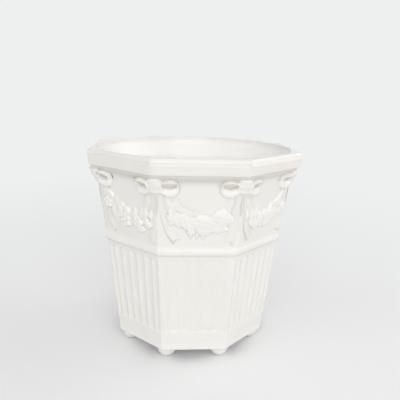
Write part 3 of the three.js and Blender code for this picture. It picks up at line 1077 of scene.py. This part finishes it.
@dataclass
class Tails(Assembly):
    """The ribbon tails, two on each panel, with swallow-tail ends.

    Attributes:
        relief: how far the outer edge stands out at its foot.
        top_relief: how far it stands out at its top.
        inner_relief: how far the inner edge stands out, as a share of the outer one.
        top_width: width where the tail leaves the knot.
        corner_gap: distance of the tail's top from the corner.
        notch_rise: how far the notch reaches up from the outer tip.
        notch_share: where across the tail the notch lies.
        below_neck: distance of the tails' tops below the frieze's top.
        shapes: the shape of the tail at each hand.
    """

    relief: float = 1.5
    top_relief: float = 0.3
    inner_relief: float = 0.2
    top_width: float = 5.2
    corner_gap: float = 1.9
    notch_rise: float = 4.8
    notch_share: float = 0.16
    below_neck: float = 4.6
    shapes: dict[Hand, TailShape] = field(default_factory=lambda: {
        Hand.LEFT: TailShape((12.2, 2.8), (20.4, 7.8), (0.4, 17.0), (8.4, 22.0), 0.55),
        Hand.RIGHT: TailShape((3.6, 1.0), (11.8, 5.8), (-1.0, 18.0), (5.8, 20.0), 0.15),
    })

    def build(self) -> None:
        """Makes the sixteen tails."""
        for side in range(SIDES):
            for hand, shape in self.shapes.items():
                word = hand.name.lower()
                skin = self._tail(side, hand, shape)
                self.finish(skin, f"tail_sprig_{word}_{side + 1}", f"ribbon_tail_{word}_{side + 1}")

    def _tail(self, side: int, hand: Hand, shape: TailShape) -> Skin:
        """One tail: strands between its two edges, cut off along the notch.

        Each edge is a parabola through its bend point. A strand lies a share of the way between
        them, and its last third is stretched to end on the notch. The ribbon lies nearly flush
        at its top and stands out more towards its end. Its outer edge is crisp, and it falls
        softly to the wall at the inner one.

        Args:
            side: the panel that the tail lies on.
            hand: the end of the panel that it belongs to.
            shape: its outline.

        Returns:
            The tail's surface.
        """
        p = self.plan
        top = np.array((p.half_top - self.corner_gap, p.panel_height - self.below_neck))
        outer = self._edge(top, shape.outer_bend, shape.outer_tip)
        inner = self._edge(top - np.array((self.top_width, 0)), shape.inner_bend, shape.inner_tip)
        share = (1 - np.cos(np.linspace(0, math.pi, 18))) / 2
        strands = outer[:, None] + (inner - outer)[:, None] * share[None, :, None]
        plain = outer[-1] + (inner[-1] - outer[-1]) * share[:, None]
        notch_x = outer[-1, 0] + (inner[-1, 0] - outer[-1, 0]) * self.notch_share
        notch = np.array((notch_x, shape.outer_tip[1] + self.notch_rise))
        before = share[:, None] / self.notch_share
        after = (share[:, None] - self.notch_share) / (1 - self.notch_share)
        cut = np.where(before < 1, outer[-1] + (notch - outer[-1]) * before,
                       notch + (inner[-1] - notch) * after)
        length = np.linspace(0, 1, len(outer))[:, None]
        strands = strands + (cut - plain)[None] * smooth_step(0.6, 1.0, length[..., None])
        stand = self.top_relief + (self.relief - self.top_relief) * smooth_step(0.35, 0.85, length)
        fall = 1 - (1 - self.inner_relief) * smooth_step(0.0, 1.0, share)
        fold = 0.12 * np.cos(3 * math.pi * share) * smooth_step(0.5, 0.9, length)
        edge = smooth_step(-0.02, 0.1, share) * smooth_step(-0.02, 0.3, 1 - share)
        end = 1 - smooth_step(0.965, 1.0, length)
        out = (stand * fall + fold) * edge * (0.1 + 0.9 * end) - HAIR
        # The two edges are tucked into the wall.
        border = np.minimum(share, 1 - share)
        out = out - 0.4 * (1 - smooth_step(0.0, 0.004, border))[None, :]
        # Painted shadow, as pooled glaze, along the lower part of the outer edge, and painted light on the
        # tail's heights.
        edge_shadow = (1 - smooth_step(0.04, 0.16, share)) * smooth_step(0.25, 0.5, length)
        pool_and_painted_light = np.clip(0.42 - 0.1 * out + shape.pooled_and_shaded * edge_shadow, 0, 1)
        return self.sheet(side, hand.value * strands[..., 0], strands[..., 1], out, pool_and_painted_light)

    def _edge(self, top: Array, bend: Point, tip: Point) -> Array:
        """Points down one edge: a parabola from the top past the bend to the tip.

        Args:
            top: across from the panel's middle and up from the belt.
            bend: in from the corner and up from the belt.
            tip: in from the corner and up from the belt.

        Returns:
            The points as rows.
        """
        corner = self.plan.half_foot
        return bent(top, np.array((corner - bend[0], bend[1])), np.array((corner - tip[0], tip[1])), 64)


@dataclass(frozen=True)
class Leaf:
    """A leaf of a garland, in its panel's plane.

    Attributes:
        x: where its stalk end lies, across from the panel's middle.
        y: where its stalk end lies, up from the belt.
        turn: direction in which its tip points, in degrees from the right.
        length: length along its midrib.
        width: greatest width.
        lift: height of its crown over the wall.
        bend: how far its tip swings to the left of its turn, as a share of its length.
        lobes: number of scallops along each edge.
    """

    x: float
    y: float
    turn: float
    length: float
    width: float
    lift: float = 3.4
    bend: float = 0.0
    lobes: int = 4

    def height(self, x: Array, y: Array) -> Array:
        """Height over the wall at points of the panel.

        Along the midrib the leaf rises to its crown and turns down at the tip. Across, it is a
        dome with a groove down the midrib and shallow side veins. Its outline is a sine of the
        distance along, with scallops. Past the outline it falls away.

        Args:
            x: distances across.
            y: distances up.

        Returns:
            The heights, below zero well off the leaf.
        """
        angle = math.radians(self.turn)
        along = ((x - self.x) * math.cos(angle) + (y - self.y) * math.sin(angle)) / self.length
        aside = (y - self.y) * math.cos(angle) - (x - self.x) * math.sin(angle)
        held = np.clip(along, 0.0, 1.0)
        aside = aside - self.bend * self.length * held ** 2
        scallop = 1 + 0.09 * np.abs(np.sin(self.lobes * math.pi * held))
        half = self.width / 2 * np.sin(math.pi * held ** 0.8) ** 0.7 * scallop + 0.05
        share = np.abs(aside) / half
        crown = self.lift * (0.62 + 0.38 * np.sin(math.pi * held ** 0.9))
        dome = crown * (1 - 0.42 * np.minimum(share, 1.3) ** 2)
        groove = 0.4 * np.exp(-((aside / 0.7) ** 2)) * smooth_step(1.0, 0.75, held)
        ribs = np.cos(2 * math.pi * (self.lobes * held - 0.9 * share))
        veins = 0.09 * ribs * smooth_step(0.1, 0.5, share)
        outside = np.maximum(np.abs(aside) - half, 0) + self.length * np.abs(along - held)
        return dome - groove + veins * (outside <= 0) - FALL * outside


@dataclass(frozen=True)
class Blossom:
    """A flower of a garland, in its panel's plane.

    Attributes:
        x: place of its middle across the panel.
        y: place of its middle up from the belt.
        radius: radius of its petals' tips.
        lift: height of its petals over the wall.
        petals: number of petals.
        turn: turn of the first petal in degrees.
    """

    x: float
    y: float
    radius: float
    lift: float = 3.8
    petals: int = 5
    turn: float = 90.0

    def height(self, x: Array, y: Array) -> Array:
        """Height over the wall at points of the panel.

        Each petal is a dome that is widest near its tip, with a groove to the next one, and a
        round button stands in the middle.

        Args:
            x: distances across.
            y: distances up.

        Returns:
            The heights, below zero well off the flower.
        """
        reach = np.hypot(x - self.x, y - self.y)
        angle = np.arctan2(y - self.y, x - self.x) - math.radians(self.turn)
        beat = np.abs(np.cos(self.petals * angle / 2))
        outline = self.radius * (0.74 + 0.26 * beat ** 0.7)
        share = reach / outline
        petal = self.lift * (0.78 + 0.22 * np.sin(math.pi * np.minimum(share, 1.0) ** 1.4))
        petal = petal - 0.75 * (1 - beat) ** 2 * smooth_step(0.15, 0.5, share)
        dip = 0.55 * np.exp(-((share - 0.36) / 0.12) ** 2)
        button = self.lift * 1.12 - 1.1 * (reach / (0.3 * self.radius)) ** 2
        flower = np.maximum(petal - dip, button)
        return flower - FALL * np.maximum(reach - outline, 0)


Motif = Leaf | Blossom


def softened(heights: Array, passes: int) -> Array:
    """Rounds a grid of heights as glaze does: each pass is a quarter, a half and a quarter.

    Args:
        heights: the grid.
        passes: how many times each point becomes the weighted mean of itself and its neighbours.

    Returns:
        The rounded grid.
    """
    for _ in range(passes):
        for axis, count in enumerate(heights.shape):
            place = np.arange(count)
            before = np.take(heights, np.maximum(place - 1, 0), axis)
            after = np.take(heights, np.minimum(place + 1, count - 1), axis)
            heights = before / 4 + heights / 2 + after / 4
    return heights


def leafy() -> list[Motif]:
    """The leafy garland: broad leaves that overlap from left to right, with two small blossoms."""
    return [
        Leaf(-25.5, 43.0, -62, 12.5, 4.6, 2.2, 0.08),
        Leaf(-20.5, 39.5, -38, 13.5, 6.4, 3.0, -0.06),
        Leaf(-12.5, 34.0, -24, 13.5, 6.4, 3.2, 0.05),
        Leaf(-22.0, 36.0, -84, 9.5, 6.0, 2.8, 0.06),
        Leaf(-18.5, 31.0, -70, 13.0, 8.0, 3.6, -0.05),
        Leaf(-13.5, 31.0, -74, 16.0, 9.0, 3.9, 0.06),
        Leaf(-8.0, 29.0, -82, 15.5, 8.6, 4.0, 0.04),
        Leaf(-5.5, 15.5, -96, 7.5, 2.8, 1.7),
        Leaf(-1.0, 15.0, -88, 7.0, 2.6, 1.6),
        Leaf(3.5, 14.5, -80, 7.5, 2.8, 1.7),
        Leaf(-2.5, 19.0, -10, 16.5, 11.5, 3.6, 0.05),
        Leaf(27.5, 42.5, -128, 11.5, 4.2, 1.6, 0.05),
        Leaf(9.0, 21.0, -22, 15.5, 9.0, 3.4, 0.14),
        Leaf(-5.0, 25.0, -13, 20.0, 12.0, 4.5, 0.06, 3),
        Leaf(10.5, 28.6, -10, 18.5, 13.0, 4.3, -0.02, 5),
        Blossom(-22.3, 27.7, 2.9, 3.4),
        Blossom(-21.6, 23.2, 2.5, 3.0, 5, 40),
        Blossom(-5.8, 15.4, 3.2, 4.0, 5, 60),
    ]


def flowery() -> list[Motif]:
    """The flowery garland: three rosettes among leaves, with upright tips to the right."""
    return [
        Leaf(-27.0, 43.0, -72, 10.5, 5.2, 2.4),
        Leaf(-24.0, 41.0, -40, 12.5, 6.2, 3.0),
        Leaf(-15.5, 36.0, -28, 13.5, 6.8, 3.2),
        Leaf(-26.5, 33.5, -88, 9.5, 6.2, 2.8),
        Leaf(-19.0, 26.5, -58, 14.0, 8.6, 3.4),
        Leaf(-10.5, 31.5, -70, 12.5, 7.4, 3.6),
        Leaf(-3.5, 29.5, -48, 12.0, 7.2, 3.6),
        Leaf(4.0, 26.0, -20, 11.5, 7.6, 3.4),
        Leaf(8.0, 15.0, -8, 12.0, 7.4, 3.0),
        Leaf(-12.0, 17.0, -46, 8.5, 5.6, 2.8),
        Leaf(10.5, 21.0, 96, 10.5, 4.4, 3.0),
        Leaf(16.0, 22.0, 78, 11.5, 5.0, 3.2),
        Leaf(21.5, 23.0, 84, 10.5, 5.2, 3.0),
        Leaf(26.5, 23.5, 76, 9.5, 4.6, 2.6),
        Leaf(19.0, 20.0, -14, 10.5, 6.6, 2.8),
        Leaf(27.5, 42.5, -112, 10.0, 4.0, 1.6),
        Blossom(-23.0, 31.0, 5.0, 4.0),
        Blossom(-2.5, 19.0, 6.4, 4.6, 6, 20),
        Blossom(13.0, 19.5, 5.2, 4.2, 5, 70),
        Blossom(-12.0, 21.5, 3.2, 3.6, 5, 30),
        Blossom(22.0, 22.0, 3.2, 3.4, 5, 10),
    ]


def mixed() -> list[Motif]:
    """The mixed garland: upright tips to the left, then broad leaves and two blossoms."""
    return [
        Leaf(-27.5, 42.5, -76, 10.5, 4.0, 1.6),
        Leaf(-24.5, 23.5, 104, 10.0, 4.6, 2.6),
        Leaf(-19.5, 23.0, 92, 10.5, 5.0, 3.0),
        Leaf(-14.0, 22.0, 84, 11.0, 5.0, 3.2),
        Leaf(-20.0, 25.0, -58, 10.5, 6.6, 3.0),
        Leaf(-15.5, 24.0, -62, 12.5, 8.0, 3.4),
        Leaf(-9.0, 27.0, -64, 15.0, 8.6, 3.8),
        Leaf(-2.0, 19.5, -10, 15.0, 10.5, 3.6),
        Leaf(-3.0, 27.5, -38, 12.0, 7.6, 4.0),
        Leaf(4.0, 25.5, -16, 18.0, 12.0, 4.4, 0.12, 3),
        Leaf(16.0, 35.0, -145, 13.0, 7.0, 3.6),
        Leaf(25.5, 43.0, -122, 12.5, 5.4, 2.6),
        Leaf(22.0, 38.5, -118, 14.5, 7.6, 3.4),
        Leaf(18.0, 22.0, 20, 12.0, 7.0, 3.2),
        Blossom(-12.5, 19.0, 4.2, 4.0, 5, 80),
        Blossom(24.5, 29.0, 3.6, 3.4, 5, 30),
    ]


@dataclass
class Garlands(Assembly):
    """The garlands between the bows, each a closed sheet of leaves and flowers over the wall.

    Attributes:
        low: height of the swag's middle above the belt.
        end_inset: distance of the swag's ends from the corners.
        end_below_neck: distance of the swag's ends below the frieze's top.
        sweep: half the angle that the swag's arc takes.
        overrun: half the angle that its sheet takes, as a multiple of that.
        reach_up: half width of the sheet above the arc's middle.
        reach_down: half width of the sheet below the arc's middle.
        core: height of the bundle of stalks under the leaves.
        blend: reach of the glaze that fills the creases between the leaves.
        fillet: reach of the glaze fillet at the wall.
        share_of_lift: how much of the leaves' own heights the glazed garland keeps.
    """

    low: float = 20.6
    end_inset: float = 9.9
    end_below_neck: float = 14.2
    sweep: float = math.radians(80)
    overrun: float = 1.22
    reach_up: float = 12.0
    reach_down: float = 15.5
    core: float = 2.2
    blend: float = 0.28
    fillet: float = 0.3
    share_of_lift: float = 0.78

    def build(self) -> None:
        """Makes the eight garlands, whose three designs follow each other round the pot."""
        designs = {Design.LEAFY: leafy(), Design.FLOWERY: flowery(), Design.MIXED: mixed()}
        order = (Design.LEAFY, Design.MIXED, Design.FLOWERY, Design.LEAFY,
                 Design.MIXED, Design.FLOWERY, Design.MIXED, Design.FLOWERY)
        for side, design in enumerate(order):
            skin = self._garland(side, designs[design])
            self.finish(skin, f"garland_sprig_{side + 1}", f"garland_{side + 1}")

    def _garland(self, side: int, motifs: list[Motif]) -> Skin:
        """One garland: the highest of its core, leaves and flowers, over a sheet along the arc.

        The sheet runs along an ellipse and across it. Where nothing grows, it lies a hair under
        the wall, and a soft maximum with the wall gives the glaze fillet round each leaf.

        Args:
            side: the panel that it lies on.
            motifs: its leaves and flowers.

        Returns:
            The garland's surface.
        """
        p = self.plan
        end_y = p.panel_height - self.end_below_neck
        half_span = (p.half_top - self.end_inset) / math.sin(self.sweep)
        drop = (end_y - self.low) / (1 - math.cos(self.sweep))
        end = self.sweep * self.overrun
        angle = np.linspace(-end, end, 250)[:, None]
        share = np.linspace(-1, 1, 92)[None, :]
        tangent = stacked(half_span * np.cos(angle), drop * np.sin(angle))
        tangent = tangent / np.linalg.norm(tangent, axis=-1, keepdims=True)
        taper = 0.5 + 0.5 * np.cos(np.clip(angle * 0.85, -math.pi / 2, math.pi / 2))
        reach = np.where(share < 0, self.reach_down, self.reach_up) * taper * np.abs(share)
        offset = np.sign(share) * reach
        x = half_span * np.sin(angle) - tangent[..., 1] * offset
        y = self.low + drop * (1 - np.cos(angle)) + tangent[..., 0] * offset
        along = np.clip(np.abs(angle) / self.sweep, 0, 1)
        body = self.core * (1 - 0.5 * along) * (1 - (offset / (7.0 - 4.0 * along)) ** 2)
        height = np.maximum(body, FALL_FLOOR)
        for motif in motifs:
            height = soft_max(height, np.maximum(motif.height(x, y), FALL_FLOOR), self.blend)
        out = soft_max(height, np.full_like(height, -HAIR), self.fillet) - self.fillet * 0.35
        crisp, soft = softened(out, 1), softened(out, 7)
        upper = smooth_step(-0.1, 0.5, share)
        out = self.share_of_lift * (crisp + (soft - crisp) * upper)
        # The sheet's edge is tucked into the wall.
        border = np.minimum(1 - np.abs(share), (1 - np.abs(angle) / end) * 4)
        out = np.where(border < 0.02, -0.3, out)
        # Painted shade in the hollows, where glaze has pooled, and painted light over the upper half and on
        # the heights, where it lies thinner.
        hollow_shade = np.clip(soft - crisp, -0.35, 0.7) * (0.75 - 0.35 * upper)
        pool_and_painted_light = np.clip(np.maximum(0.64 - 0.22 * upper - 0.32 * out, 0.3) + hollow_shade, 0.08, 1)
        return self.sheet(side, x, y, out, pool_and_painted_light)


@dataclass(frozen=True)
class Camera:
    """The photograph's viewpoint.

    Attributes:
        place: where the camera stands, in metres.
        heading: how far it looks to the right of +Y, in radians.
        pitch: how far it looks down, in radians.
        roll: how far it is turned about its line of sight, in radians.
        focal_share: focal length as a share of the picture's width.
    """

    place: tuple[float, float, float] = (-0.02988, -0.44478, 0.22981)
    heading: float = 0.0834
    pitch: float = 0.2223
    roll: float = 0.0291
    focal_share: float = 478.43 / 400

    def build(self) -> None:
        """Makes the camera and sets it as the scene's own."""
        ahead = Vector((math.sin(self.heading), math.cos(self.heading), 0))
        right = Vector((math.cos(self.heading), -math.sin(self.heading), 0))
        up = Vector((0, 0, 1))
        sight = math.cos(self.pitch) * ahead - math.sin(self.pitch) * up
        over = math.sin(self.pitch) * ahead + math.cos(self.pitch) * up
        side = math.cos(self.roll) * right + math.sin(self.roll) * over
        over = math.cos(self.roll) * over - math.sin(self.roll) * right
        data = bpy.data.cameras.new("photo_camera")
        data.sensor_width = 36.0
        data.lens = data.sensor_width * self.focal_share
        data.clip_start = 0.01
        camera = bpy.data.objects.new("photo_camera", data)
        axes = Matrix((side, over, -sight)).transposed().to_4x4()
        camera.matrix_world = Matrix.Translation(self.place) @ axes
        bpy.context.scene.collection.objects.link(camera)
        bpy.context.scene.camera = camera


@dataclass(frozen=True)
class Softbox:
    """A square studio lamp that looks at the pot.

    Attributes:
        name: the lamp's name.
        azimuth: direction in which it stands, in degrees to the right of the front.
        elevation: its height over the floor, in degrees.
        distance: how far it stands off the pot, in metres.
        size: its width in metres.
        power: its power in watts.
    """

    name: str
    azimuth: float
    elevation: float
    distance: float
    size: float
    power: float

    def build(self, target: Vector) -> None:
        """Hangs the lamp on a sphere round a point, looking at that point.

        Args:
            target: the point.
        """
        data = bpy.data.lights.new(self.name, "AREA")
        data.shape = "SQUARE"
        data.size = self.size
        data.energy = self.power
        lamp = bpy.data.objects.new(self.name, data)
        turn, climb = math.radians(self.azimuth), math.radians(self.elevation)
        level = math.cos(climb)
        away = Vector((level * math.sin(turn), -level * math.cos(turn), math.sin(climb)))
        lamp.location = target + self.distance * away
        lamp.rotation_euler = (-away).to_track_quat("-Z", "Y").to_euler()
        bpy.context.scene.collection.objects.link(lamp)


@dataclass(frozen=True)
class Studio:
    """The pale seamless sweep, the soft lamps and the even light of the room.

    Attributes:
        floor_colour: linear colour of the sweep.
        backdrop_colour: tint of the far backdrop.
        backdrop_tone: how bright the far backdrop and the room look to the camera, 1 being white.
        glow_start: start of the floor's passing into the backdrop, off the pot's axis; below zero,
        the floor is already a little of both at the pot, which paints light into its shadows there.
        backdrop_end: distance from the axis where it has passed.
        room_strength: strength of the world's light.
        front: how far the sweep's floor reaches in front of the pot, in metres.
        back: how far behind the pot its wall stands.
        curve: radius of the curve between the two.
        half_width: half the sweep's width.
        height: height of its wall.
        aim: height of the point that the lamps look at.
        softboxes: the lamps.
    """

    floor_colour: Colour = (0.90, 0.90, 0.905)
    backdrop_colour: Colour = (0.985, 0.995, 1.0)
    backdrop_tone: float = 0.87
    glow_start: float = -0.15
    backdrop_end: float = 0.95
    room_strength: float = 0.28
    front: float = 2.5
    back: float = 2.0
    curve: float = 0.7
    half_width: float = 3.0
    height: float = 3.0
    aim: float = 0.09
    softboxes: tuple[Softbox, ...] = (
        Softbox("front_softbox", 0, 22, 2.6, 2.4, 28.4),
        Softbox("high_softbox", 0, 52, 2.6, 2.4, 12.4),
        Softbox("side_softbox", 85, 28, 2.6, 2.0, 10.0),
        Softbox("right_softbox", 110, 32, 2.6, 2.0, 13.5),
        Softbox("left_softbox", -75, 32, 2.6, 2.0, 7.9),
        Softbox("top_softbox", -70, 68, 2.2, 1.8, 4.6),
        Softbox("back_softbox", 180, 50, 2.4, 1.8, 2.3),
    )

    def build(self) -> None:
        """Makes the sweep, the lamps and the world."""
        bpy.context.scene.view_settings.view_transform = "Standard"
        self._sweep()
        self._world()
        for softbox in self.softboxes:
            softbox.build(Vector((0, 0, self.aim)))

    def _sweep(self) -> None:
        """The floor that curves up into the backdrop: a profile carried along X."""
        start = self.back - self.curve
        profile = np.concatenate((
            np.linspace((-self.front, 0), (start - 0.1, 0), 8),
            arc((start, self.curve), (self.curve, self.curve), -math.pi / 2, 0, 24),
            np.linspace((self.back, self.curve + 0.2), (self.back, self.height), 4),
        ))
        across = np.linspace(-self.half_width, self.half_width, 5)
        grid = stacked(across, profile[:, :1], profile[:, 1:])
        number = np.arange(len(profile) * len(across)).reshape(grid.shape[:2])
        faces = stacked(number[:-1, :-1], number[:-1, 1:], number[1:, 1:], number[1:, :-1])
        mesh = bpy.data.meshes.new("studio_sweep")
        mesh.from_pydata(grid.reshape(-1, 3).tolist(), [], faces.reshape(-1, 4).tolist())
        mesh.polygons.foreach_set("use_smooth", np.ones(len(mesh.polygons), dtype=bool))
        sweep = bpy.data.objects.new("studio_sweep", mesh)
        bpy.context.scene.collection.objects.link(sweep)
        mesh.materials.append(self._paper())

    def _paper(self) -> bpy.types.Material:
        """The sweep's paper: matt near the pot, with a little painted light for the camera over its
        shadows, and a plain pale tone to the camera far from it.

        Returns:
            The material.
        """
        material = bpy.data.materials.new("sweep_paper")
        graph = Graph.of(material)
        nodes = graph.tree.nodes
        paper = graph.feed(nodes["Principled BSDF"], {
            "Base Color": (*self.floor_colour, 1), "Roughness": 0.6, "Specular IOR Level": 0.2,
        })
        glow = graph.add("Emission", {"Color": (*self.backdrop_colour, 1), "Strength": self.backdrop_tone})
        place = graph.add("TexCoord").outputs["Object"]
        flat = graph.add("VectorMath", {0: place, 1: (1, 1, 0)}, operation="MULTIPLY")
        away = graph.add("VectorMath", {0: flat.outputs["Vector"]}, operation="LENGTH")
        # Painted light: the glow starts before the pot, so the floor's shadows round it are lit a little
        # for the camera.
        far = graph.add("MapRange", {
            "Value": away.outputs["Value"], "From Min": self.glow_start, "From Max": self.backdrop_end,
        }, interpolation_type="SMOOTHSTEP")
        share = graph.add("Math", {0: far.outputs["Result"], 1: self._seen(graph)}, operation="MULTIPLY")
        mix = graph.add("MixShader", {
            "Fac": share.outputs["Value"], 1: paper.outputs["BSDF"], 2: glow.outputs["Emission"],
        })
        graph.feed(nodes["Material Output"], {"Surface": mix.outputs["Shader"]})
        return material

    @staticmethod
    def _seen(graph: Graph) -> bpy.types.NodeSocket:
        """Adds nodes that give 1 to rays from the camera and to mirrored or refracted ones.

        Args:
            graph: the nodes of the material or the world.

        Returns:
            The socket with the share.
        """
        path = graph.add("LightPath").outputs
        total = path["Is Camera Ray"]
        for kind in ("Is Glossy Ray", "Is Transmission Ray"):
            total = graph.add("Math", {0: total, 1: path[kind]}, operation="MAXIMUM").outputs["Value"]
        return total

    def _world(self) -> None:
        """The room's even light, which the camera sees at the backdrop's tone."""
        world = bpy.data.worlds.new("studio_room")
        graph = Graph.of(world)
        span = {"To Min": self.room_strength, "To Max": self.backdrop_tone}
        strength = graph.add("MapRange", {"Value": self._seen(graph), **span}).outputs["Result"]
        graph.feed(graph.tree.nodes["Background"], {"Color": (1.0, 1.0, 1.0, 1), "Strength": strength})
        bpy.context.scene.world = world


def main() -> None:
    """Builds the studio and the sub-assemblies in order."""
    logging.basicConfig(level=logging.INFO, format="%(name)s: %(message)s")
    Camera().build()
    Studio().build()
    plan = Plan()
    wall = Unevenness()
    white = Glaze().material()
    foot_white = Glaze(name="foot_glaze", bare_sole=0.0003).material()
    Vessel(plan, white, wall).build()
    Feet(plan, foot_white, wall).build()
    Bows(plan, white, wall).build()
    Tails(plan, white, wall).build()
    Garlands(plan, white, wall).build()


if __name__ == "__main__":
    main()
